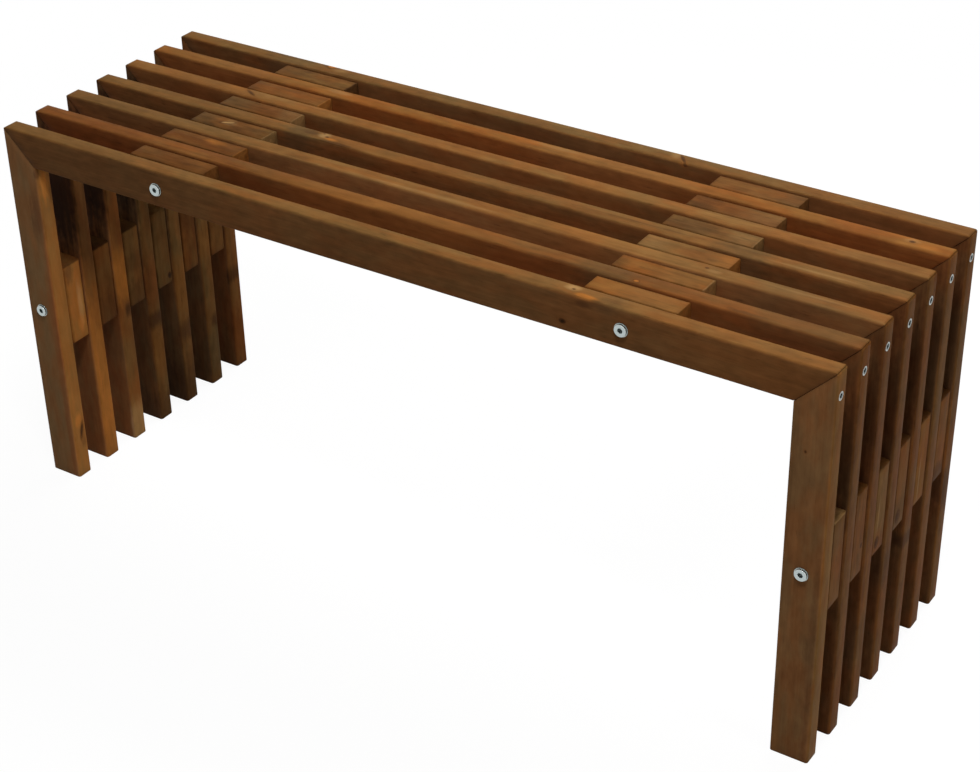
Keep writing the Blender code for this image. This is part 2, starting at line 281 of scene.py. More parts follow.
RIGHT_LEGS = (
    Timber("honey", 1.06, Knot((0.36, -FRONT, -0.026), THROUGH, 0.001, "umber", 0.4),
           Patch((0.12, -FRONT, -0.006), (0.2, 0.006, 0.006), "umber", 0.35),
           Patch((0.02, -FRONT, -0.036), (0.1, 0.01, 0.006), "amber", 0.5)),
    Timber("chestnut", 0.88, band(0.3, 0.1, "olive", 0.3), *RIGHT_SLOT_SHADE),
    Timber("chestnut", 0.86, band(0.08, 0.04, "smoke", 0.4), band(0.3, 0.06, "russet", 0.35), *RIGHT_SLOT_SHADE),
    Timber("chestnut", 0.86, band(0.14, 0.04, "umber", 0.4), *RIGHT_SLOT_SHADE),
    Timber("chestnut", 0.84, band(0.185, 0.03, "russet", 0.7), band(0.145, 0.012, "umber", 0.6),
           *RIGHT_SLOT_SHADE),
    Timber("chestnut", 0.95, band(0.3, 0.12, "olive", 0.6), *RIGHT_SLOT_SHADE),
    Timber("chestnut", 0.9, band(0.15, 0.035, "umber", 0.6), band(0.3, 0.1, "olive", 0.6), *RIGHT_SLOT_SHADE),
)

# The blocks in the gaps from the front to the rear, measured from their left or lower ends
SEAT_LEFT_SPACERS = (
    Timber("chestnut", 0.69, band(0.08, 0.05, "amber", 0.25)),
    Timber("chestnut", 0.76, band(0.06, 0.05, "russet", 0.3), end_light_and_shade("ember", 0.3),
           spot(0.062, 0.006, 0.02, 0.007, 0.008, "ember", 0.6)),
    Timber("honey", 0.62, Knot((0.042, 0.003, 0.0), (0.8, 0.5, 0.3), 0.002, "straw", 0.45),
           end_light_and_shade("straw", 0.65), band(0.005, 0.034, "smoke", 0.5),
           spot(0.044, 0.004, 0.012, 0.01, 0.006, "straw", 0.6),
           spot(0.06, -0.004, 0.02, 0.005, 0.006, "umber", 0.4)),
    Timber("chestnut", 0.74, end_light_and_shade("straw", 0.5), band(0.005, 0.04, "smoke", 0.5),
           band(0.09, 0.02, "straw", 0.25)),
    Timber("chestnut", 0.97, band(0.05, 0.05, "russet", 0.25), band(0.0, 0.02, "umber", 0.3),
           end_light_and_shade("ember", 0.35)),
    Timber("honey", 0.8, band(0.02, 0.03, "umber", 0.3), end_light_and_shade("umber", 0.8)),
)
SEAT_RIGHT_SPACERS = (
    Timber("amber", 1.0, band(0.065, 0.045, "honey", 0.6)),
    Timber("amber", 0.84, band(0.0, 0.02, "umber", 0.35), band(0.07, 0.04, "honey", 0.5),
           end_light_and_shade("straw", 0.5)),
    Timber("honey", 0.9, band(0.005, 0.03, "straw", 0.25), band(0.1, 0.022, "ember", 0.35)),
    Timber("honey", 0.72, band(0.03, 0.04, "umber", 0.4), band(0.085, 0.022, "straw", 0.3),
           end_light_and_shade("straw", 0.4)),
    Timber("chestnut", 0.76, band(0.09, 0.045, "straw", 0.2), band(0.015, 0.02, "umber", 0.4)),
    Timber("chestnut", 0.9, band(0.095, 0.03, "smoke", 0.4)),
)
LEFT_LEG_SPACERS = (
    # The first block's extra lightness is partly its tone and partly painted light on its inner face
    Timber("amber", 1.75, Patch((0.045, 0.006, BLOCK_INNER), (0.045, 0.006, 0.006), "straw", 0.4),
           Patch((0.02, 0.004, BLOCK_INNER), (0.016, 0.008, 0.006), "ember", 0.4),
           Patch((0.09, -0.006, BLOCK_INNER), (0.022, 0.009, 0.006), "umber", 0.65),
           end_light_and_shade("bark", 0.65)),
    Timber("chestnut", 1.06, band(0.01, 0.04, "umber", 0.5), end_light_and_shade("bark", 0.75)),
    Timber("honey", 0.95, band(0.01, 0.03, "umber", 0.5), band(0.055, 0.02, "umber", 0.3),
           end_light_and_shade("bark", 0.65)),
    Timber("olive", 0.85, Knot((0.01, 0.009, BLOCK_INNER), DOWN, 0.0025, "bark", 0.7)),
    Timber("chestnut", 0.75, band(0.08, 0.04, "umber", 0.4)),
    Timber("chestnut", 0.82),
)
RIGHT_LEG_SPACERS = (
    Timber("chestnut", 1.05, band(0.09, 0.05, "smoke", 0.4), end_light_and_shade("straw", 0.7)),
    Timber("chestnut", 0.95, Knot((0.033, 0.007, BLOCK_INNER), (0.2, 0.4, 0.9), 0.0018, "umber", 0.5)),
    Timber("honey", 0.95, Knot((0.012, -0.004, BLOCK_INNER), (0.1, 0.3, 0.9), 0.004, "umber", 0.5),
           Patch((0.045, -0.004, BLOCK_INNER), (0.035, 0.002, 0.005), "straw", 0.5),
           band(0.0, 0.022, "russet", 0.6), end_light_and_shade("umber", 0.4)),
    Timber("chestnut", 1.08, Knot((0.012, -0.003, BLOCK_INNER), (0.1, 0.2, 0.9), 0.005, "umber", 0.4),
           band(0.01, 0.035, "smoke", 0.6), end_light_and_shade("umber", 0.55)),
    Timber("amber", 0.98, Patch((0.03, -0.003, BLOCK_INNER), (0.035, 0.002, 0.006), "straw", 0.6),
           end_light_and_shade("umber", 0.65)),
    Timber("chestnut", 1.08, band(0.0, 0.03, "umber", 0.8), end_light_and_shade("bark", 0.5)),
)


class Value:
    """A number that varies over a surface. Arithmetic on it adds Math nodes to its finish."""

    def __init__(self, finish, socket):
        self.finish = finish
        self.socket = socket

    def __add__(self, other):
        return self.finish.maths("ADD", self, other)

    __radd__ = __add__

    def __sub__(self, other):
        return self.finish.maths("SUBTRACT", self, other)

    def __rsub__(self, other):
        return self.finish.maths("SUBTRACT", other, self)

    def __mul__(self, other):
        return self.finish.maths("MULTIPLY", self, other)

    __rmul__ = __mul__

    def __truediv__(self, other):
        return self.finish.maths("DIVIDE", self, other)

    def beside(self, output):
        """Another output of the node that this number comes from."""
        return Value(self.finish, self.socket.node.outputs[output])


# Sockets of a Mix node that blends colours
MIX_FACTOR, MIX_FIRST, MIX_SECOND = 0, 6, 7
MIX_RESULT = 2


class Finish:
    """The nodes of one material or world, added one expression at a time."""

    def __init__(self, tree):
        self.tree = tree

    def node(self, kind, settings, inputs, output=0):
        """Add a node: its settings first, then the values or links of its sockets."""
        node = self.tree.nodes.new(kind)
        for name, setting in settings.items():
            setattr(node, name, setting)
        for key, value in inputs.items():
            self.feed(node.inputs[key], value)
        return Value(self, node.outputs[output])

    def feed(self, socket, value):
        """Link a value to a socket, or set the socket if the value is constant."""
        if isinstance(value, Value):
            self.tree.links.new(value.socket, socket)
        else:
            socket.default_value = value

    def maths(self, operation, *numbers):
        """Calculate with numbers."""
        return self.node("ShaderNodeMath", {"operation": operation}, dict(enumerate(numbers)))

    def vector(self, operation, *vectors, output="Vector"):
        """Calculate with vectors or colours."""
        return self.node("ShaderNodeVectorMath", {"operation": operation}, dict(enumerate(vectors)), output)

    def scaled(self, colour, amount):
        """Make a colour or a vector longer or shorter by a number."""
        return self.node("ShaderNodeVectorMath", {"operation": "SCALE"}, {"Vector": colour, "Scale": amount})

    def mix(self, factor, first, second):
        """Blend two colours."""
        inputs = {MIX_FACTOR: factor, MIX_FIRST: first, MIX_SECOND: second}
        return self.node("ShaderNodeMix", {"data_type": "RGBA"}, inputs, MIX_RESULT)

    def smooth(self, value, low, high):
        """Rise smoothly from 0 at low to 1 at high, or fall if low is the larger."""
        inputs = {"Value": value, "From Min": low, "From Max": high}
        return self.node("ShaderNodeMapRange", {"interpolation_type": "SMOOTHSTEP"}, inputs)

    def length(self, vector):
        """The length of a vector."""
        return self.vector("LENGTH", vector, output="Value")

    def parts(self, vector):
        """Split a vector into its three numbers."""
        first = self.node("ShaderNodeSeparateXYZ", {}, {"Vector": vector}, "X")
        return first, first.beside("Y"), first.beside("Z")

    def grain(self, point, stretch, shift, detail, output="Fac"):
        """Noise drawn out along the grain: stretch gives its waves in each metre along, through and down."""
        place = self.vector("MULTIPLY_ADD", point, stretch, shift)
        return self.node("ShaderNodeTexNoise", {}, {"Vector": place, "Scale": 1.0, "Detail": detail}, output)

    def place(self):
        """The places on a piece, in its own axes."""
        return self.node("ShaderNodeTexCoord", {}, {}, "Object")

    def within(self, value, low, high):
        """1 between two limits and 0 outside them, with soft ends."""
        rising = self.smooth(value, low, low + SHADE_BLEND)
        return rising * self.smooth(value, high, high - SHADE_BLEND)

    def relief(self, shader, strength, depth, height):
        """Raise and sink the surface by a height, down to a depth in metres."""
        inputs = {"Strength": strength, "Distance": depth, "Height": height}
        self.feed(shader.inputs["Normal"], self.node("ShaderNodeBump", {}, inputs))


def new_finish(name):
    """Start a material and return it, its finish and its Principled BSDF."""
    material = bpy.data.materials.new(name)
    material.use_nodes = True
    finish = Finish(material.node_tree)
    return material, finish, material.node_tree.nodes["Principled BSDF"]


def setting_of(kind, **fixed):
    """Make a short call for one kind of setting in the sidebar."""

    def setting(name, description, default):
        return kind(name=name, description=description, default=default, **fixed)

    return setting


metres = setting_of(FloatProperty, unit="LENGTH")
ratio = setting_of(FloatProperty, subtype="FACTOR")
plain = setting_of(FloatProperty)
bearing = setting_of(FloatProperty, subtype="ANGLE")
watts = setting_of(FloatProperty, unit="POWER")
tint = setting_of(FloatVectorProperty, subtype="COLOR")
whereabouts = setting_of(FloatVectorProperty, subtype="TRANSLATION", unit="LENGTH")
extent = setting_of(FloatVectorProperty, size=2)
whole = setting_of(IntProperty)


class BenchTimber(PropertyGroup):
    """Shape and stain of the boards and the blocks."""

    edge_radius: metres("Edge radius", "Rounding of a board's long edges", 0.0030)
    spacer_edge_radius: metres("Block edge radius", "Rounding of a block's long edges", 0.0034)
    corner_radius: metres("Corner radius", "Rounding of the corners where rails and legs meet", 0.0050)
    end_easing: metres("End easing", "Rounding of the sawn ends", 0.0006)
    waviness: metres("Waviness", "How far planing and sanding took the faces down", 0.00018)
    ring_spacing: metres("Ring spacing", "Distance between growth rings", 0.0036)
    ring_contrast: ratio("Ring contrast", "How much darker the late wood is", 0.06)
    streak_contrast: plain("Streak contrast", "Unevenness of the stain along the grain", 0.42)
    fibre_contrast: plain("Fibre contrast", "Strength of the finest fibres", 0.26)
    roughness: ratio("Roughness", "Roughness of the dry stain", 0.52)
    sheen_level: ratio("Reflection level", "How strongly the stained wood mirrors light", 0.015)
    honey: tint("Honey", "Golden brown stain", (0.310, 0.146, 0.043))
    amber: tint("Amber", "Orange brown stain", (0.340, 0.138, 0.033))
    chestnut: tint("Chestnut", "Middle brown stain", (0.270, 0.112, 0.031))
    olive: tint("Olive", "Greenish brown stain", (0.235, 0.120, 0.038))
    russet: tint("Russet", "Reddish brown stain", (0.260, 0.082, 0.020))
    smoke: tint("Smoke", "Greyish brown stain", (0.165, 0.096, 0.036))
    umber: tint("Umber", "Dark stain beside a knot", (0.105, 0.044, 0.016))
    straw: tint("Straw", "Pale wood of a knot's collar", (0.540, 0.310, 0.115))
    ember: tint("Ember", "Resinous orange of a live knot", (0.600, 0.215, 0.040))
    # Bark is also the tone of the painted shade in the legs' slots and on some blocks' ends
    bark: tint("Bark", "Nearly black rim of a dead knot", (0.030, 0.014, 0.007))


class BenchFasteners(PropertyGroup):
    """Shape and plating of the nuts, the rods and the corner screws."""

    nut_shoulder: metres("Nut shoulder", "Rounding of the nut's head", 0.0005)
    nut_flange: metres("Nut flange", "Thickness of the rim under the nut's head", 0.0007)
    nut_face_inset: metres("Nut face inset", "How far the head stands back from its rim", 0.0009)
    barrel_diameter: metres("Barrel diameter", "Diameter of the nut's sleeve", 0.0090)
    barrel_length: metres("Barrel length", "Length of the nut's sleeve", 0.0120)
    socket_width: metres("Socket width", "Width across the nut's hex socket", 0.0050)
    socket_depth: metres("Socket depth", "Depth of the nut's hex socket", 0.0032)
    nut_web: metres("Nut web", "Metal between the socket and the thread", 0.0015)
    screw_drop: metres("Screw drop", "Depth of the corner screws under the seat", 0.028)
    screw_head_diameter: metres("Screw head", "Diameter of the countersunk head", 0.0096)
    screw_head_height: metres("Screw head height", "Height of the countersunk cone", 0.0030)
    screw_shank_diameter: metres("Screw shank", "Diameter of the plain shank", 0.0045)
    screw_length: metres("Screw length", "Length of a corner screw", 0.060)
    screw_recess_diameter: metres("Screw recess", "Diameter of the recess in the head", 0.0056)
    screw_recess_depth: metres("Screw recess depth", "Depth of the recess in the head", 0.0024)
    fit_gap: metres("Fit gap", "Room around a rod or a screw in its hole", 0.0003)
    steps: whole("Steps", "Facets of a turned piece", 64)
    zinc: tint("Zinc", "Clean zinc plating", (0.455, 0.515, 0.510))
    # This tone paints the highlight on the shoulder of a nut's head
    rubbed: tint("Rubbed zinc", "Edges that handling rubbed bright", (0.70, 0.72, 0.70))
    # Dull zinc is the plating's own tone on the screws and paints shade on the nuts' rims
    dull: tint("Dull zinc", "Plating that the weather dulled", (0.33, 0.36, 0.34))
    # This tone paints shade: in the nuts' sockets, on the sides of their heads and in the screws' recesses
    grime: tint("Grime", "Dirt in the recesses", (0.110, 0.122, 0.118))
    zinc_roughness: ratio("Zinc roughness", "Roughness of the plating", 0.24)


class BenchStudio(PropertyGroup):
    """Camera, floor and lights."""

    camera_place: whereabouts("Camera place", "Where the camera stands", (1.1139, -1.6301, 1.4136))
    camera_azimuth: bearing("Azimuth", "Turn of the camera to the right of the front", math.radians(33.674))
    camera_elevation: bearing("Elevation", "Height of the camera above the horizon", math.radians(31.762))
    camera_roll: bearing("Roll", "Tilt of the camera about its own axis", math.radians(-1.219))
    camera_lens: plain("Lens", "Focal length on a 36 mm sensor, in millimetres", 77.418)
    floor_size: metres("Floor size", "Width of the floor", 24.0)
    floor_albedo: ratio("Floor colour", "How pale the floor is to the light", 0.50)
    shadow_share: ratio("Shadow share", "How much of the floor's look keeps the shadow", 0.22)
    shadow_reach: metres("Shadow reach", "Distance at which the floor is plain white", 1.6)
    floor_lit_level: plain("Lit level", "Brightness that the light alone gives the floor", 0.235)
    ambient: plain("Ambient", "Strength of the room's own light", 0.016)
    rear_power: watts("Rear power", "Power of the light behind the seat", 35.5)
    rear_place: whereabouts("Rear place", "Where the light behind the seat hangs", (0.20, 1.60, 2.20))
    rear_size: extent("Rear size", "Length and width of the light behind the seat", (2.0, 1.0))
    front_power: watts("Front power", "Power of the lamp over the front", 15.0)
    front_place: whereabouts("Front place", "Where the lamp over the front hangs", (0.55, -0.85, 2.30))
    front_size: extent("Front size", "Length and width of the lamp over the front", (0.4, 0.4))
    side_power: watts("Side power", "Power of the light on the right", 5.0)
    side_place: whereabouts("Side place", "Where the light on the right hangs", (2.20, -0.35, 1.10))
    side_size: extent("Side size", "Length and width of the light on the right", (0.7, 0.7))
    fill_power: watts("Fill power", "Power of the low light before the bench", 3.0)
    fill_place: whereabouts("Fill place", "Where the low light stands", (0.40, -2.40, 0.90))
    fill_size: extent("Fill size", "Length and width of the low light", (1.2, 1.2))


# Noises of the pine: waves for each metre along, through and down the board, and fineness
SWAY = ((2.4, 16.0, 16.0), 1.0)
BLOTCH = ((11.0, 46.0, 46.0), 2.0)
HUE = ((20.0, 62.0, 62.0), 3.0)
CLOUD = ((42.0, 110.0, 110.0), 3.0)
STREAK = ((6.0, 210.0, 210.0), 3.0)
MOTTLE = ((90.0, 190.0, 190.0), 2.0)
FIBRE = ((26.0, 1300.0, 1300.0), 2.0)
FLECK = ((70.0, 900.0, 900.0), 0.0)
FURTHEST_SHIFT = 40.0
MEAN = 0.5

# Growth rings: how they sway and taper, where the pith may lie, and where in each ring the late wood is
SWAY_REACH = 0.012
RING_TAPER = 0.006
PITH_NEAR, PITH_FAR = 0.018, 0.050
RING_SPREAD = (0.8, 1.3)
RING_WANDER = 3.0
LATE_RISE = (0.15, 0.80)
LATE_FALL = (1.0, 0.90)
LATE_WHERE = (0.25, 0.65)

# Effect of each pattern on the colour
BLOTCH_CONTRAST = 0.42
MOTTLE_CONTRAST = 0.26
CLOUD_CONTRAST = 0.62
RUDDY = (1.05, 0.85, 0.72)
MOSSY = (0.97, 1.01, 1.00)
HUE_EDGES = (0.35, 0.65)
HUE_SHARE = 0.8
FLECK_EDGES = (0.74, 0.84)
FLECK_SHADE = 0.25
PATCH_RAGGED = 0.55
PATCH_CORE = 0.25
END_GRAIN_SHADE = 0.05
END_SOAK = 0.005
END_SOAK_SHADE = 0.12
JOINT_LINE = 0.0011
JOINT_SHADE = 0.42
ARRIS_WIDTH = 0.0030
ARRIS_CORE = 0.0009
ARRIS_WEAR = 0.12
# Painted light: the front and rear faces of rails and legs are tinted to stand in for the colour of the
# light that falls on them
PAINTED_FACE_LIGHT = {
    "rail_pine": (0.93, 0.84, 0.98),
    "leg_pine": (0.98, 1.02, 1.40),
    "spacer_pine": (1.0, 1.0, 1.0),
}
FACE_SPREAD = 0.0018
# Painted shade along a block's faces where it meets the rails, standing in for the shade in the gaps there:
# its width at the front and the rear, its raggedness and its darkness
SEAM_FRONT = 0.0046
SEAM_REAR = 0.0034
SEAM_RAGGED = 0.0040
SEAM_SHADE = 0.55

# Shape of a knot, in its own radii, and how dark and mottled its heart is
KNOT_STRETCH = (0.72, 1.0, 1.0)
KNOT_WAVES = (130.0, 130.0, 130.0)
KNOT_WOBBLE = 0.6
KNOT_HEART = (1.2, 0.5)
KNOT_FILL = 0.92
KNOT_RIM_WIDTH = 0.30
KNOT_HALO = (3.2, 0.8)
KNOT_HALO_TINT = 0.30
KNOT_RING_PUSH = 0.006
HEART_LEVEL, HEART_MOTTLE = 0.55, 0.8

# Gloss and relief of the wood
STREAK_GLOSS, END_GLOSS = 0.25, 0.2
WOOD_RELIEF, WOOD_BUMP = 0.00025, 0.5
FIBRE_HEIGHT, LATE_HEIGHT, FLECK_HEIGHT = 0.5, 0.25, 0.8
HEART_HEIGHT, RIM_HEIGHT = 0.4, 0.8

# Figure of the zinc: its mottle, its dust and the rings of the lathe
PLATING_WAVES, PLATING_FINENESS = (600.0, 600.0, 600.0), 3.0
PLATING_EDGES, PLATING_SHARE, PLATING_DULL = (0.3, 0.7), 0.5, 0.82
DUST_WAVES, DUST_FINENESS = (2500.0, 2500.0, 2500.0), 2.0
DUST_EDGES, DUST_SHARE, DUST_COLOUR = (0.55, 0.75), 0.35, (0.26, 0.28, 0.28, 1.0)
TURNING_PITCH, TURNING_HEIGHT = 0.00035, 0.5
ZINC_RELIEF, ZINC_BUMP = 0.00004, 0.4
MOTTLE_GLOSS, DUST_GLOSS = 0.3, 0.15

# Softness of the edge of a shade on the plating, and a distance outside every fastener
SHADE_BLEND = 0.0002
OUTSIDE = 0.1


def tone(name):
    """The stain of that name, as the four numbers of a colour socket."""
    return (*getattr(bpy.context.scene.bench_timber, name), 1.0)


def neighbour(name, shift):
    """A neighbour of the stain of that name, each of its primaries multiplied by a number."""
    return (*(part * change for part, change in zip(tone(name), shift)), 1.0)


def knot_masks(finish, point, knot):
    """Masks of a knot: its heart, its dark rim and the halo where the grain bends round it."""
    offset = finish.vector("MULTIPLY", finish.vector("SUBTRACT", point, knot.place), KNOT_STRETCH)
    lean = tuple(Vector(knot.lean).normalized())
    run = finish.vector("DOT_PRODUCT", offset, lean, output="Value")
    beside = finish.vector("SUBTRACT", offset, finish.scaled(lean, run))
    wobble = finish.grain(point, KNOT_WAVES, (knot.place[0] * FURTHEST_SHIFT, 0.0, 0.0), 1.0)
    distance = finish.length(beside) / knot.radius + (wobble - MEAN) * KNOT_WOBBLE
    heart = finish.smooth(distance, *KNOT_HEART) * KNOT_FILL
    rim = finish.smooth(distance, 1.0 - KNOT_RIM_WIDTH, 1.0)
    rim = rim * finish.smooth(distance, 1.0 + 2 * KNOT_RIM_WIDTH, 1.0)
    return heart, rim, finish.smooth(distance, *KNOT_HALO)


def patch_mask(finish, point, patch, ragged):
    """Mask of a patch, ragged along the grain."""
    offset = finish.vector("DIVIDE", finish.vector("SUBTRACT", point, patch.place), patch.reach)
    return finish.smooth(finish.length(offset) + ragged, 1.0, PATCH_CORE) * patch.strength


def end_distances(along, down, length, mitres):
    """Distance of a place from each sawn end, measured along the board."""
    left = along - (MITRE_SETBACK - down) if mitres[0] else along
    right = length - along
    return left, right - (MITRE_SETBACK - down) if mitres[1] else right


def pine(name, slot, timber, size, mitres):
    """Stained pine for one board: growth rings, streaks, knots, patches, soaked ends and worn edges, with
    painted shade at a block's seams and painted light on the broad faces.
    """
    settings = bpy.context.scene.bench_timber
    length, thickness, width = size
    rng = random.Random(name)
    material, finish, shader = new_finish(f"{name}_pine")
    point = finish.place()
    along, through, down = finish.parts(point)

    def figure(kind, output="Fac"):
        waves, fineness = kind
        shift = tuple(rng.uniform(0.0, FURTHEST_SHIFT) for _ in range(3))
        return finish.grain(point, waves, shift, fineness, output)

    sway = finish.vector("SUBTRACT", figure(SWAY, "Color"), (MEAN, MEAN, MEAN))
    kinds = (BLOTCH, HUE, CLOUD, STREAK, MOTTLE, FIBRE)
    blotch, hue, cloud, streak, mottle, fibre = [figure(kind) for kind in kinds]
    fleck = finish.smooth(figure(FLECK), *FLECK_EDGES)

    knots = [knot_masks(finish, point, knot) for knot in timber.knots]
    turn = rng.uniform(0.0, FULL_TURN)
    reach = rng.uniform(PITH_NEAR, PITH_FAR)
    pith = (0.0, reach * math.cos(turn), -width / 2 + reach * math.sin(turn))
    swayed = finish.vector("ADD", point, finish.scaled(sway, SWAY_REACH))
    section = finish.vector("MULTIPLY", finish.vector("SUBTRACT", swayed, pith), (0.0, 1.0, 1.0))
    ring = finish.length(section) + along * RING_TAPER
    for heart, rim, halo in knots:
        ring = ring + halo * KNOT_RING_PUSH
    growth = ring / (settings.ring_spacing * rng.uniform(*RING_SPREAD)) + (hue - MEAN) * RING_WANDER
    cycle = finish.maths("FRACT", growth)
    late = finish.smooth(cycle, *LATE_RISE) * finish.smooth(cycle, *LATE_FALL)
    late = late * finish.smooth(blotch, *LATE_WHERE)

    drift = finish.smooth(hue, *HUE_EDGES) * HUE_SHARE
    base = finish.mix(drift, neighbour(timber.tone, MOSSY), neighbour(timber.tone, RUDDY))
    ragged = (streak - MEAN) * PATCH_RAGGED + (mottle - MEAN) * PATCH_RAGGED
    for patch in timber.patches:
        base = finish.mix(patch_mask(finish, point, patch, ragged), base, tone(patch.tone))
    level = timber.light + (streak - MEAN) * settings.streak_contrast
    level = level + (fibre - MEAN) * settings.fibre_contrast
    contrasts = ((blotch, BLOTCH_CONTRAST), (mottle, MOTTLE_CONTRAST), (cloud, CLOUD_CONTRAST))
    for cloudiness, contrast in contrasts:
        level = level + (cloudiness - MEAN) * contrast
    level = level - late * settings.ring_contrast - fleck * FLECK_SHADE

    end_grain = finish.node("ShaderNodeAttribute", {"attribute_name": "end_grain"}, {}, "Fac")
    ends = end_distances(along, down, length, mitres)
    soaked = finish.smooth(finish.maths("MINIMUM", *ends), END_SOAK, 0.0) * END_SOAK_SHADE
    for distance, mitred in zip(ends, mitres):
        if mitred:
            soaked = finish.maths("MAXIMUM", soaked, finish.smooth(distance, JOINT_LINE, 0.0) * JOINT_SHADE)
    level = level * (1.0 - soaked) * (1.0 - end_grain * END_GRAIN_SHADE)

    from_face = thickness / 2 - finish.maths("ABSOLUTE", through)
    from_edge = finish.maths("MINIMUM", 0.0 - down, down + width)
    arris = finish.smooth(finish.maths("MAXIMUM", from_face, from_edge), ARRIS_WIDTH, ARRIS_CORE)
    wear = arris * finish.smooth(streak + (blotch - MEAN), *HUE_EDGES) * (1.0 - end_grain)
    base = finish.mix(wear * ARRIS_WEAR, base, tone("ember"))
    # Painted shade along a block's seams with the rails, where the gaps lie in shade
    if not any(mitres):
        stray = (cloud - MEAN) * SEAM_RAGGED
        front = finish.smooth(through + thickness / 2 + stray, SEAM_FRONT, 0.0)
        rear = finish.smooth(thickness / 2 - through + stray, SEAM_REAR, 0.0)
        level = level * (1.0 - finish.maths("MAXIMUM", front, rear) * SEAM_SHADE * (1.0 - end_grain))
    # Painted light: tint the front and rear faces to the colour of the light that falls on them
    broad = finish.smooth(from_face, FACE_SPREAD, 0.0)
    base = finish.mix(broad, base, finish.vector("MULTIPLY", base, PAINTED_FACE_LIGHT[slot]))
    stain = finish.scaled(base, level)
    for knot, (heart, rim, halo) in zip(timber.knots, knots):
        stain = finish.mix(halo * KNOT_HALO_TINT, stain, finish.scaled(tone("russet")[:3], level))
        core = finish.scaled(tone(knot.heart)[:3], HEART_LEVEL + mottle * HEART_MOTTLE)
        stain = finish.mix(rim * knot.rim, finish.mix(heart, stain, core), tone("bark"))

    gloss = settings.roughness + (streak - MEAN) * STREAK_GLOSS + end_grain * END_GLOSS
    finish.feed(shader.inputs["Base Color"], stain)
    finish.feed(shader.inputs["Roughness"], gloss)
    shader.inputs["Specular IOR Level"].default_value = settings.sheen_level
    height = fibre * FIBRE_HEIGHT - late * LATE_HEIGHT - fleck * FLECK_HEIGHT
    for heart, rim, halo in knots:
        height = height + heart * HEART_HEIGHT - rim * RIM_HEIGHT
    finish.relief(shader, WOOD_BUMP, WOOD_RELIEF, height)
    return material


def zinc(name, turned, shades=()):
    """Zinc plating: a faint mottle, fine rings where the head was turned, and the rings of other tones given
    as shades, which paint shade into recesses and highlights on edges.
    """
    settings = bpy.context.scene.bench_fasteners
    rng = random.Random(name)
    material, finish, shader = new_finish(f"{name}_zinc")
    point = finish.place()
    shift = tuple(rng.uniform(0.0, FURTHEST_SHIFT) for _ in range(3))
    mottle = finish.grain(point, PLATING_WAVES, shift, PLATING_FINENESS)
    dust = finish.smooth(finish.grain(point, DUST_WAVES, shift, DUST_FINENESS), *DUST_EDGES)
    across = finish.length(finish.vector("MULTIPLY", point, (1.0, 1.0, 0.0)))
    rings = finish.maths("SINE", across * (FULL_TURN / TURNING_PITCH)) * turned
    dull = (*(part * PLATING_DULL for part in settings.zinc), 1.0)
    plating = finish.mix(finish.smooth(mottle, *PLATING_EDGES) * PLATING_SHARE, (*settings.zinc, 1.0), dull)
    height = finish.parts(point)[2]
    for shade in shades:
        ring = finish.within(across, shade.inner, shade.outer)
        ring = ring * finish.within(height, shade.bottom, shade.top)
        plating = finish.mix(ring, plating, (*getattr(settings, shade.tone), 1.0))
    gloss = settings.zinc_roughness + (mottle - MEAN) * MOTTLE_GLOSS + dust * DUST_GLOSS
    finish.feed(shader.inputs["Base Color"], finish.mix(dust * DUST_SHARE, plating, DUST_COLOUR))
    finish.feed(shader.inputs["Roughness"], gloss)
    shader.inputs["Metallic"].default_value = 1.0
    finish.relief(shader, ZINC_BUMP, ZINC_RELIEF, rings * TURNING_HEIGHT + mottle)
    return material


# Fineness of the meshes, and how far the cutters reach past what they cut
CORNER_STEPS = 4
EASING_STEPS = 2
STATION_SPACING, FEWEST_STATIONS = 0.0125, 4
FACE_RUNS = 3
EDGE_RUNS = 2
CORNER_CUT_STEPS = 6
SHOULDER_STEPS, FLANGE_STEPS = 4, 2
RECESS_STEPS = 48
CUT_OVERRUN = 0.002
MOUTH_DEPTH = 0.0004

# Faces that lie across the fibres, edges that stay sharp, and how the planing waves along and round a board
END_GRAIN_LEAN = 0.6
SMOOTH_ANGLE = math.radians(34.0)
WAVE_RATE, WAVE_TURN = 9.0, 1.7

# Small sizes of the nuts and the screws
FLANGE_ROUNDING = 0.0002
HEX = 6
HEX_FLARE = 0.12
# How much of the socket's width the painted shade covers
SOCKET_SHADE_SHARE = 0.55
SCREW_EDGE = 0.0003
THREAD_START, THREAD_PITCH, THREAD_CORE = 0.45, 0.0025, 0.68
THREAD_CREST = 0.0005
TIP_LENGTH = 0.005
LOBES = 6
LOBE_DEPTH = 0.0006
LOBE_FLARE = 0.10
SCREW_TURNED = 0.3
# How much of the recess's width the painted shade covers
RECESS_SHADE_SHARE = 0.62


def section_outline(thickness, width, radius):
    """A board's section round from its outer edge: places and outward directions, as through and down."""
    across = thickness / 2 - radius
    corners = ((across, -radius), (-across, -radius), (-across, radius - width), (across, radius - width))
    outline = []
    for number, corner in enumerate(corners):
        for step in range(CORNER_STEPS + 1):
            angle = QUARTER * (number + step / CORNER_STEPS)
            outward = Vector((math.cos(angle), math.sin(angle)))
            outline.append((Vector(corner) + outward * radius, outward))
        runs = EDGE_RUNS if number % 2 == 0 else FACE_RUNS
        last, outward = outline[-1]
        first = Vector(corners[(number + 1) % len(corners)]) + outward * radius
        outline.extend((last.lerp(first, run / runs), outward) for run in range(1, runs))
    return outline


def eased(radius, steps):
    """Points over a rounded corner, as distances in from its two sides."""
    angles = [QUARTER * step / steps for step in range(steps + 1)]
    return [(radius * (1.0 - math.cos(angle)), radius * (1.0 - math.sin(angle))) for angle in angles]


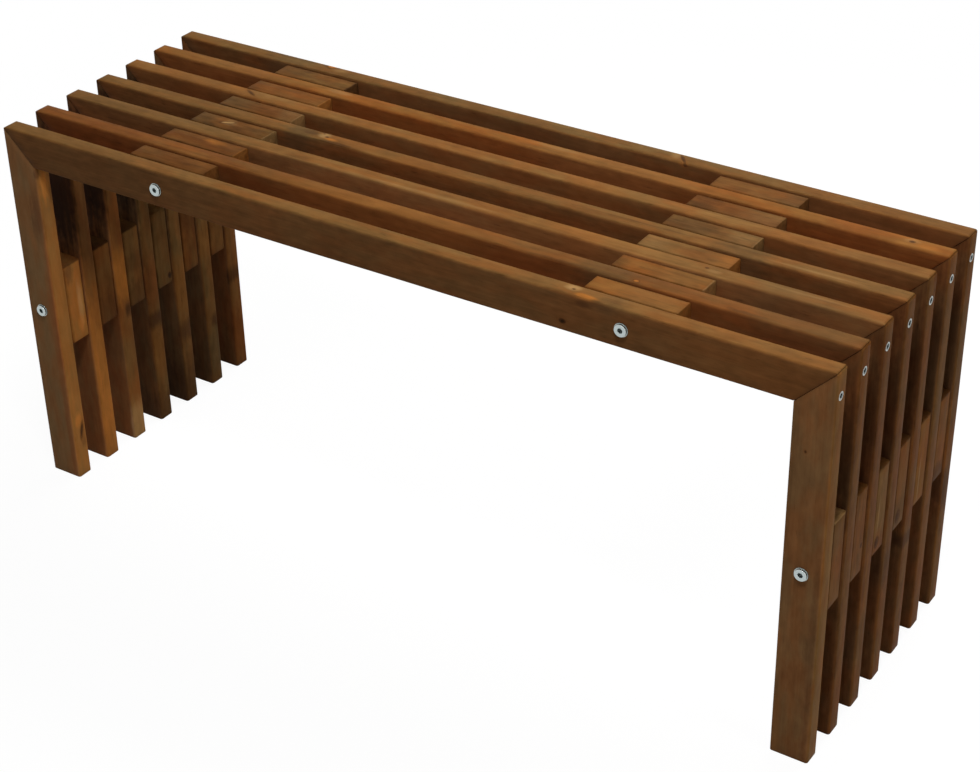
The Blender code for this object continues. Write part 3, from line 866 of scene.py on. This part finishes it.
def stations(length):
    """Places along a board, close at its ends: share of the length, distance from the nearer end, inset."""
    ends = eased(bpy.context.scene.bench_timber.end_easing, EASING_STEPS)
    count = max(FEWEST_STATIONS, round(length / STATION_SPACING))
    start = [(0.0, distance, inset) for distance, inset in ends]
    between = [(step / count, 0.0, 0.0) for step in range(1, count)]
    return start + between + [(1.0, -distance, inset) for distance, inset in reversed(ends)]


def lofted(name, rings, capped=True):
    """Join rings of places into a closed mesh. A ring that lies on one place becomes a point."""
    shape = bmesh.new()
    loops = []
    for ring in rings:
        made = {place: shape.verts.new(place) for place in dict.fromkeys(ring)}
        loops.append([made[place] for place in ring])
    for first, second in zip(loops, loops[1:]):
        for corner in range(len(first)):
            beyond = (corner + 1) % len(first)
            corners = (first[corner], first[beyond], second[beyond], second[corner])
            shape.faces.new(list(dict.fromkeys(corners)))
    if capped:
        shape.faces.new(reversed(loops[0]))
        shape.faces.new(loops[-1])
    bmesh.ops.recalc_face_normals(shape, faces=shape.faces)
    return mesh_from(shape, name)


def mesh_from(shape, name):
    """Turn a bmesh into a mesh and free it."""
    mesh = bpy.data.meshes.new(name)
    shape.to_mesh(mesh)
    shape.free()
    return mesh


def board_mesh(name, size, edge_radius, mitres):
    """Loft a board with rounded edges, eased ends and slightly wavy faces, mitred where asked."""
    length, thickness, width = size
    waviness = bpy.context.scene.bench_timber.waviness
    outline = section_outline(thickness, width, edge_radius)
    seed = random.Random(name).uniform(0.0, FURTHEST_SHIFT)
    rings = []
    for share, distance, inset in stations(length):
        ring = []
        for place, outward in outline:
            side = place - outward * (inset + sanded(share * length, outward, seed, waviness))
            left = MITRE_SETBACK - side.y if mitres[0] else 0.0
            right = length - (MITRE_SETBACK - side.y if mitres[1] else 0.0)
            ring.append((left + (right - left) * share + distance, side.x, side.y))
        rings.append(ring)
    return lofted(name, rings)


def sanded(along, outward, seed, waviness):
    """Depth that planing and sanding took off at a place, from nothing to twice the waviness."""
    wave = noise.noise((along * WAVE_RATE, outward.x * WAVE_TURN + seed, outward.y * WAVE_TURN))
    return waviness * (1.0 + wave)


def turned_mesh(name, profile, steps):
    """Spin a profile, as points of radius and height from top to bottom, into a closed solid."""
    angles = [FULL_TURN * step / steps for step in range(steps)]
    rings = [[(radius * math.cos(angle), radius * math.sin(angle), height) for angle in angles]
             for radius, height in profile]
    return lofted(name, rings, capped=False)


def prism_mesh(name, outline, bottom, top, flare):
    """Make the cutter of a recess from its outline, its mouth flared by a share."""
    mouth = top - CUT_OVERRUN
    levels = ((bottom, 1.0), (mouth - MOUTH_DEPTH, 1.0), (mouth, 1.0 + flare), (top, 1.0 + flare))
    return lofted(name, [[(x * scale, y * scale, height) for x, y in outline] for height, scale in levels])


def new_piece(name, mesh, matrix):
    """Place a mesh in the scene."""
    piece = bpy.data.objects.new(name, mesh)
    piece.matrix_world = matrix
    bpy.context.scene.collection.objects.link(piece)
    return piece


def carve(piece, cutters):
    """Cut holes into a piece and keep the result as its mesh."""
    for cutter in cutters:
        cut = piece.modifiers.new(cutter.name, "BOOLEAN")
        cut.operation = "DIFFERENCE"
        cut.solver = "EXACT"
        cut.object = cutter
    bpy.context.view_layer.update()
    carved = bpy.data.meshes.new_from_object(piece.evaluated_get(bpy.context.evaluated_depsgraph_get()))
    piece.modifiers.clear()
    piece.data = carved


def remove_all(objects):
    """Take the cutters away once their holes are made."""
    for used in objects:
        bpy.data.objects.remove(used, do_unlink=True)


def finish_piece(piece, material, slot, *nodes):
    """Give a piece its only material, the node that it replaces and the body that it rides on. Its slot is
    not used.
    """
    piece.data.materials.clear()
    piece.data.materials.append(material)
    piece.data.shade_smooth()
    piece.data.set_sharp_from_angle(angle=SMOOTH_ANGLE)
    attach(piece, "root")
    if nodes:
        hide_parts(*nodes)


def placed(across, depth, height, turn=(0.0, 0.0, 0.0)):
    """A place in the room and a turn there."""
    return Matrix.Translation((across, depth, height)) @ Euler(turn).to_matrix().to_4x4()


def middle(node):
    """The middle of a node's box."""
    low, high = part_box(node)
    return (low + high) / 2


def upright(across, depth, height, facing):
    """The place of a board that stands on its left end, its outer edge towards the facing side."""
    return placed(across, depth, height, (0.0, -QUARTER, facing))


def rod_cutter(station):
    """Add the cutter of a tie rod's hole, wider at both ends for the nuts."""
    centre = middle(f"{station}_tie_rod")
    fasteners = bpy.context.scene.bench_fasteners
    shoulder = TIMBER_REAR - fasteners.barrel_length - fasteners.fit_gap
    outside = TIMBER_REAR + CUT_OVERRUN
    barrel = fasteners.barrel_diameter / 2 + fasteners.fit_gap
    rod = ROD_RADIUS + fasteners.fit_gap
    half = [(0.0, outside), (barrel, outside), (barrel, shoulder), (rod, shoulder)]
    profile = half + [(radius, -height) for radius, height in reversed(half)]
    mesh = turned_mesh(f"{station}_rod_cutter", profile, fasteners.steps // 2)
    return new_piece(mesh.name, mesh, placed(centre.x, 0.0, centre.z, (QUARTER, 0.0, 0.0)))


def screw_place(side, number):
    """Where a corner screw sits: its head on the leg's outer face, its axis along the rail."""
    drop = bpy.context.scene.bench_fasteners.screw_drop
    facing = math.copysign(QUARTER, SIDES[side])
    return placed(SIDES[side], middle(f"rail_{number}").y, BENCH_HEIGHT - drop, (0.0, facing, 0.0))


def screw_cutter(side, number):
    """Add the cutter of a corner screw's countersunk hole."""
    fasteners = bpy.context.scene.bench_fasteners
    gap = fasteners.fit_gap
    head = fasteners.screw_head_diameter / 2 + gap
    shank = fasteners.screw_shank_diameter / 2 + gap
    end = -(fasteners.screw_length + gap)
    profile = [(0.0, CUT_OVERRUN), (head, CUT_OVERRUN), (head, 0.0), (shank, -fasteners.screw_head_height)]
    profile += [(shank, end), (0.0, end)]
    mesh = turned_mesh(f"{side}_screw_cutter_{number}", profile, fasteners.steps // 2)
    return new_piece(mesh.name, mesh, screw_place(side, number))


def corner_cutter(side):
    """Add the cutter that rounds the corner where the rails meet the legs of one side."""
    radius = bpy.context.scene.bench_timber.corner_radius
    inward = -math.copysign(1.0, SIDES[side])
    outline = [(-inward * CUT_OVERRUN, CUT_OVERRUN), (-inward * CUT_OVERRUN, -radius)]
    outline += [(inward * across, -down) for across, down in eased(radius, CORNER_CUT_STEPS)]
    outline.append((inward * radius, CUT_OVERRUN))
    half = BENCH_DEPTH / 2 + CUT_OVERRUN
    mesh = prism_mesh(f"{side}_corner_cutter", outline, -half, half, 0.0)
    return new_piece(mesh.name, mesh, placed(SIDES[side], 0.0, BENCH_HEIGHT, (QUARTER, 0.0, 0.0)))


def add_board(name, slot, timber, size, edge_radius, place, mitres, cutters):
    """Make one board or block, drill it, mark the faces that cut across its fibres, and stain it."""
    piece = new_piece(f"{name}_board", board_mesh(name, size, edge_radius, mitres), place)
    carve(piece, cutters)
    mark = piece.data.attributes.new("end_grain", "FLOAT", "FACE")
    leans = [float(abs(face.normal.x) > END_GRAIN_LEAN) for face in piece.data.polygons]
    mark.data.foreach_set("value", leans)
    finish_piece(piece, pine(name, slot, timber, size, mitres), slot, name)


class BENCH_OT_add_rails(Operator):
    """Add the seven seat rails, mitred at both ends"""

    bl_idname = "bench.add_rails"
    bl_label = "Add Rails"

    def execute(self, context):
        radius = context.scene.bench_timber.edge_radius
        shared = [rod_cutter(station) for station in SEAT_STATIONS] + [corner_cutter(side) for side in SIDES]
        size = (BENCH_LENGTH, BOARD_THICKNESS, BOARD_WIDTH)
        for number, timber in zip(FRAME_NUMBERS, RAILS):
            name = f"rail_{number}"
            screws = [screw_cutter(side, number) for side in SIDES]
            place = placed(CAD_LOW.x, middle(name).y, BENCH_HEIGHT)
            add_board(name, "rail_pine", timber, size, radius, place, (True, True), shared + screws)
            remove_all(screws)
        remove_all(shared)
        return {"FINISHED"}


class BENCH_OT_add_legs(Operator):
    """Add the fourteen legs, mitred at the top"""

    bl_idname = "bench.add_legs"
    bl_label = "Add Legs"

    def execute(self, context):
        radius = context.scene.bench_timber.edge_radius
        size = (BENCH_HEIGHT, BOARD_THICKNESS, BOARD_WIDTH)
        for side, facing, looks in ("left", 0.0, LEFT_LEGS), ("right", HALF_TURN, RIGHT_LEGS):
            shared = [rod_cutter(f"{side}_leg"), corner_cutter(side)]
            for number, timber in zip(FRAME_NUMBERS, looks):
                name = f"{side}_leg_{number}"
                screw = screw_cutter(side, number)
                place = upright(SIDES[side], middle(name).y, 0.0, facing)
                add_board(name, "leg_pine", timber, size, radius, place, (False, True), shared + [screw])
                remove_all([screw])
            remove_all(shared)
        return {"FINISHED"}


def add_spacers(station, looks, lying):
    """Add the six blocks of one station, lying under the seat's top or standing between the legs."""
    radius = bpy.context.scene.bench_timber.spacer_edge_radius
    rod = rod_cutter(station)
    for number, timber in zip(GAP_NUMBERS, looks):
        name = f"{station}_spacer_{number}"
        low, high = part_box(name)
        depth = middle(name).y
        if lying:
            place = placed(low.x, depth, high.z)
            size = (high.x - low.x, high.y - low.y, high.z - low.z)
        else:
            place = upright(low.x, depth, low.z, 0.0)
            size = (high.z - low.z, high.y - low.y, high.x - low.x)
        add_board(name, "spacer_pine", timber, size, radius, place, (False, False), [rod])
    remove_all([rod])


class BENCH_OT_add_seat_spacers(Operator):
    """Add the twelve blocks between the rails"""

    bl_idname = "bench.add_seat_spacers"
    bl_label = "Add Seat Spacers"

    def execute(self, context):
        for station, looks in zip(SEAT_STATIONS, (SEAT_LEFT_SPACERS, SEAT_RIGHT_SPACERS)):
            add_spacers(station, looks, lying=True)
        return {"FINISHED"}


class BENCH_OT_add_leg_spacers(Operator):
    """Add the twelve blocks between the legs"""

    bl_idname = "bench.add_leg_spacers"
    bl_label = "Add Leg Spacers"

    def execute(self, context):
        for station, looks in zip(LEG_STATIONS, (LEFT_LEG_SPACERS, RIGHT_LEG_SPACERS)):
            add_spacers(station, looks, lying=False)
        return {"FINISHED"}


class BENCH_OT_plate_tie_rods(Operator):
    """Give the four tie rods their zinc plating"""

    bl_idname = "bench.plate_tie_rods"
    bl_label = "Plate Tie Rods"

    def execute(self, context):
        for station in SEAT_STATIONS + LEG_STATIONS:
            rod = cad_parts[f"{station}_tie_rod"]
            rod.data.materials.clear()
            rod.data.materials.append(zinc(f"{station}_tie_rod", 0.0))
        return {"FINISHED"}


def round_over(radius, height, rounding, steps):
    """Points of a rounded shoulder, from the flat top to the upright side."""
    return [(radius - across, height - down) for across, down in reversed(eased(rounding, steps))]


def nut_mesh():
    """Turn a sleeve nut with height 0 under its head, bored for its rod."""
    fasteners = bpy.context.scene.bench_fasteners
    barrel = fasteners.barrel_diameter / 2
    bore = ROD_RADIUS + fasteners.fit_gap
    bore_end = NUT_HEAD_THICKNESS - fasteners.socket_depth - fasteners.nut_web
    sleeve_end = -fasteners.barrel_length
    face = NUT_HEAD_RADIUS - fasteners.nut_face_inset
    profile = [(0.0, NUT_HEAD_THICKNESS)]
    profile += round_over(face, NUT_HEAD_THICKNESS, fasteners.nut_shoulder, SHOULDER_STEPS)
    profile.append((face, fasteners.nut_flange))
    profile += round_over(NUT_HEAD_RADIUS, fasteners.nut_flange, FLANGE_ROUNDING, FLANGE_STEPS)
    profile += [(NUT_HEAD_RADIUS, 0.0), (barrel, 0.0), (barrel, sleeve_end), (bore, sleeve_end)]
    profile += [(bore, bore_end), (0.0, bore_end)]
    return turned_mesh("sleeve_nut", profile, fasteners.steps)


def nut_shades():
    """Painted shade in a nut's socket and under its head, and a painted highlight on its shoulder."""
    fasteners = bpy.context.scene.bench_fasteners
    face = NUT_HEAD_RADIUS - fasteners.nut_face_inset
    flange = fasteners.nut_flange
    shoulder = NUT_HEAD_THICKNESS - fasteners.nut_shoulder
    socket = fasteners.socket_width * SOCKET_SHADE_SHARE
    return (
        # Painted highlight on the shoulder of the head
        Shade(face - fasteners.nut_shoulder / 2, OUTSIDE, shoulder, OUTSIDE, "rubbed"),
        # Painted shade and painted dark reflection on the side of the head, between its rim and its shoulder
        Shade(face - SHADE_BLEND * 2, OUTSIDE, flange, shoulder, "grime"),
        # Painted shade on the rim under the head, in the duller zinc
        Shade(face, OUTSIDE, -OUTSIDE, flange + SHADE_BLEND, "dull"),
        # Painted shade in the socket
        Shade(-OUTSIDE, socket, -OUTSIDE, NUT_HEAD_THICKNESS - SHADE_BLEND, "grime"),
    )


def recess_outline(radius, lobes, depth, steps):
    """Outline of a recess: a hexagon's corners, or a rounded star."""
    points = []
    for step in range(steps):
        angle = FULL_TURN * step / steps
        reach = radius - depth * (0.5 - 0.5 * math.cos(lobes * angle))
        points.append((reach * math.cos(angle), reach * math.sin(angle)))
    return points


def add_fastener(name, piece_name, place, mesh, recess):
    """Place a nut or a screw at its own turn and sink the recess for its key."""
    place = place @ Matrix.Rotation(random.Random(name).uniform(0.0, FULL_TURN), 4, "Z")
    piece = new_piece(piece_name, mesh, place)
    cutter = new_piece(recess.name, recess, place)
    carve(piece, [cutter])
    remove_all([cutter])
    return piece


class BENCH_OT_add_sleeve_nuts(Operator):
    """Add the eight sleeve nuts on the ends of the tie rods"""

    bl_idname = "bench.add_sleeve_nuts"
    bl_label = "Add Sleeve Nuts"

    def execute(self, context):
        fasteners = context.scene.bench_fasteners
        corner = fasteners.socket_width / 2 / math.cos(math.pi / HEX)
        floor = NUT_HEAD_THICKNESS - fasteners.socket_depth
        outline = recess_outline(corner, HEX, 0.0, HEX)
        socket = prism_mesh("hex_cutter", outline, floor, NUT_HEAD_THICKNESS + CUT_OVERRUN, HEX_FLARE)
        front = (CAD_LOW.y + NUT_HEAD_THICKNESS, QUARTER)
        rear = (CAD_HIGH.y - NUT_HEAD_THICKNESS, -QUARTER)
        for station in SEAT_STATIONS + LEG_STATIONS:
            for end, (depth, facing) in {"front": front, "rear": rear}.items():
                name = f"{station}_{end}_nut"
                centre = middle(name)
                place = placed(centre.x, depth, centre.z, (facing, 0.0, 0.0))
                piece = add_fastener(name, f"{name}_piece", place, nut_mesh(), socket)
                finish_piece(piece, zinc(name, 1.0, nut_shades()), "zinc_steel", name)
        return {"FINISHED"}


def screw_mesh():
    """Turn a countersunk screw with height 0 on its head, its thread as close rings and its tip pointed."""
    fasteners = bpy.context.scene.bench_fasteners
    head = fasteners.screw_head_diameter / 2
    shank = fasteners.screw_shank_diameter / 2
    core = shank * THREAD_CORE
    start = fasteners.screw_length * THREAD_START
    tip = fasteners.screw_length - TIP_LENGTH
    profile = [(0.0, 0.0), (head - SCREW_EDGE, 0.0), (head, -SCREW_EDGE)]
    profile += [(shank, -fasteners.screw_head_height), (shank, -start), (core, -start - THREAD_CREST)]
    for turn in range(int((tip - start) / THREAD_PITCH)):
        depth = start + THREAD_PITCH * (turn + 0.5)
        profile += [(core, -depth), (shank, -depth - THREAD_CREST), (core, -depth - 2 * THREAD_CREST)]
    profile += [(core, -tip), (0.0, -fasteners.screw_length)]
    return turned_mesh("corner_screw", profile, fasteners.steps // 2)


class BENCH_OT_add_corner_screws(Operator):
    """Add the fourteen countersunk screws that close the mitres"""

    bl_idname = "bench.add_corner_screws"
    bl_label = "Add Corner Screws"

    def execute(self, context):
        fasteners = context.scene.bench_fasteners
        outline = recess_outline(fasteners.screw_recess_diameter / 2, LOBES, LOBE_DEPTH, RECESS_STEPS)
        recess = prism_mesh("lobe_cutter", outline, -fasteners.screw_recess_depth, CUT_OVERRUN, LOBE_FLARE)
        shaded_reach = fasteners.screw_recess_diameter * RECESS_SHADE_SHARE
        shades = (
            Shade(-OUTSIDE, OUTSIDE, -OUTSIDE, OUTSIDE, "dull"),
            # Painted shade in the recess of the head
            Shade(-OUTSIDE, shaded_reach, -OUTSIDE, OUTSIDE, "grime"),
        )
        sunk = Matrix.Translation((0.0, 0.0, -fasteners.fit_gap))
        for side in SIDES:
            for number in FRAME_NUMBERS:
                name = f"{side}_corner_screw_{number}"
                piece = add_fastener(name, name, screw_place(side, number) @ sunk, screw_mesh(), recess)
                finish_piece(piece, zinc(name, SCREW_TURNED, shades), "zinc_steel")
        return {"FINISHED"}


# The floor's grid, the share of the shadow's reach where it is whole, and what shows plain white
FLOOR_SQUARES = 8
SHADOW_CORE = 0.4
WHITE = (1.0, 1.0, 1.0)
SENSOR_WIDTH = 36.0


def seen_directly(finish):
    """1 for rays that see the background, mirrored or through glass too, 0 for the light that falls."""
    seen = finish.node("ShaderNodeLightPath", {}, {}, "Is Camera Ray")
    rays = seen + seen.beside("Is Glossy Ray") + seen.beside("Is Transmission Ray")
    return finish.maths("MINIMUM", rays, 1.0)


def add_floor(studio):
    """Lay a pale floor that looks white, keeps the bench's shadow and throws light back up."""
    half = studio.floor_size / 2
    shape = bmesh.new()
    bmesh.ops.create_grid(shape, x_segments=FLOOR_SQUARES, y_segments=FLOOR_SQUARES, size=half)
    floor = new_piece("studio_floor", mesh_from(shape, "studio_floor"), Matrix.Identity(4))
    material, finish, shader = new_finish("studio_floor")
    away = finish.length(finish.place())
    reach = studio.shadow_reach
    share = finish.smooth(away, reach, reach * SHADOW_CORE) * studio.shadow_share
    seen = seen_directly(finish)
    paint = (1.0 - seen * (1.0 - share)) * studio.floor_albedo
    glow = seen * (1.0 - share * studio.floor_lit_level)
    finish.feed(shader.inputs["Base Color"], finish.scaled(WHITE, paint))
    finish.feed(shader.inputs["Emission Color"], finish.scaled(WHITE, glow))
    for name, value in ("Emission Strength", 1.0), ("Roughness", 1.0), ("Specular IOR Level", 0.0):
        shader.inputs[name].default_value = value
    floor.data.materials.append(material)


def add_world(studio):
    """Fill the room with weak even light and show it white."""
    world = bpy.data.worlds.new("studio_room")
    world.use_nodes = True
    bpy.context.scene.world = world
    finish = Finish(world.node_tree)
    background = world.node_tree.nodes["Background"]
    room = (studio.ambient, studio.ambient, studio.ambient, 1.0)
    finish.feed(background.inputs["Color"], finish.mix(seen_directly(finish), room, (*WHITE, 1.0)))
    background.inputs["Strength"].default_value = 1.0


def add_light(name, power, place, size):
    """Hang a soft rectangular light and point it at the middle of the bench."""
    light = bpy.data.lights.new(name, "AREA")
    light.shape = "RECTANGLE"
    light.size, light.size_y = size
    light.energy = power
    lamp = bpy.data.objects.new(name, light)
    lamp.location = place
    aim = Vector((0.0, 0.0, BENCH_HEIGHT / 2)) - Vector(place)
    lamp.rotation_euler = aim.to_track_quat("-Z", "Y").to_euler()
    bpy.context.scene.collection.objects.link(lamp)


def add_camera(studio):
    """Stand the camera where the photograph was taken."""
    data = bpy.data.cameras.new("camera")
    data.sensor_width = SENSOR_WIDTH
    data.lens = studio.camera_lens
    camera = bpy.data.objects.new("camera", data)
    look = placed(*studio.camera_place, (QUARTER - studio.camera_elevation, 0.0, studio.camera_azimuth))
    camera.matrix_world = look @ Matrix.Rotation(studio.camera_roll, 4, "Z")
    bpy.context.scene.collection.objects.link(camera)
    bpy.context.scene.camera = camera


class BENCH_OT_add_studio(Operator):
    """Add the floor, the room's light, the lamps and the camera"""

    bl_idname = "bench.add_studio"
    bl_label = "Add Studio"

    def execute(self, context):
        studio = context.scene.bench_studio
        context.scene.view_settings.view_transform = "Standard"
        add_floor(studio)
        add_world(studio)
        for name in ("rear", "front", "side", "fill"):
            power, place, size = (getattr(studio, f"{name}_{part}") for part in ("power", "place", "size"))
            add_light(f"{name}_light", power, place, size)
        add_camera(studio)
        return {"FINISHED"}


STEPS = (
    BENCH_OT_add_studio,
    BENCH_OT_add_rails,
    BENCH_OT_add_legs,
    BENCH_OT_add_seat_spacers,
    BENCH_OT_add_leg_spacers,
    BENCH_OT_plate_tie_rods,
    BENCH_OT_add_sleeve_nuts,
    BENCH_OT_add_corner_screws,
)
GROUPS = {"bench_timber": BenchTimber, "bench_fasteners": BenchFasteners, "bench_studio": BenchStudio}


class BENCH_PT_panel(Panel):
    """The bench's operators and settings in the sidebar"""

    bl_label = "Slatted Bench"
    bl_idname = "BENCH_PT_panel"
    bl_space_type = "VIEW_3D"
    bl_region_type = "UI"
    bl_category = "Bench"

    def draw(self, context):
        layout = self.layout
        for step in STEPS:
            layout.operator(step.bl_idname)
        for group in GROUPS:
            settings = getattr(context.scene, group)
            box = layout.box()
            for name in settings.bl_rna.properties.keys():
                if name not in ("rna_type", "name"):
                    box.prop(settings, name)


def register():
    """Register the settings, the operators and the panel."""
    for name, group in GROUPS.items():
        bpy.utils.register_class(group)
        setattr(bpy.types.Scene, name, PointerProperty(type=group))
    for step in (*STEPS, BENCH_PT_panel):
        bpy.utils.register_class(step)


def unregister():
    """Remove the panel, the operators and the settings."""
    for step in (BENCH_PT_panel, *reversed(STEPS)):
        bpy.utils.unregister_class(step)
    for name, group in reversed(GROUPS.items()):
        delattr(bpy.types.Scene, name)
        bpy.utils.unregister_class(group)


def main():
    """Build the bench and its studio."""
    register()
    bpy.ops.bench.add_studio()
    bpy.ops.bench.add_rails()
    bpy.ops.bench.add_legs()
    bpy.ops.bench.add_seat_spacers()
    bpy.ops.bench.add_leg_spacers()
    bpy.ops.bench.plate_tie_rods()
    bpy.ops.bench.add_sleeve_nuts()
    bpy.ops.bench.add_corner_screws()


if __name__ == "__main__":
    main()
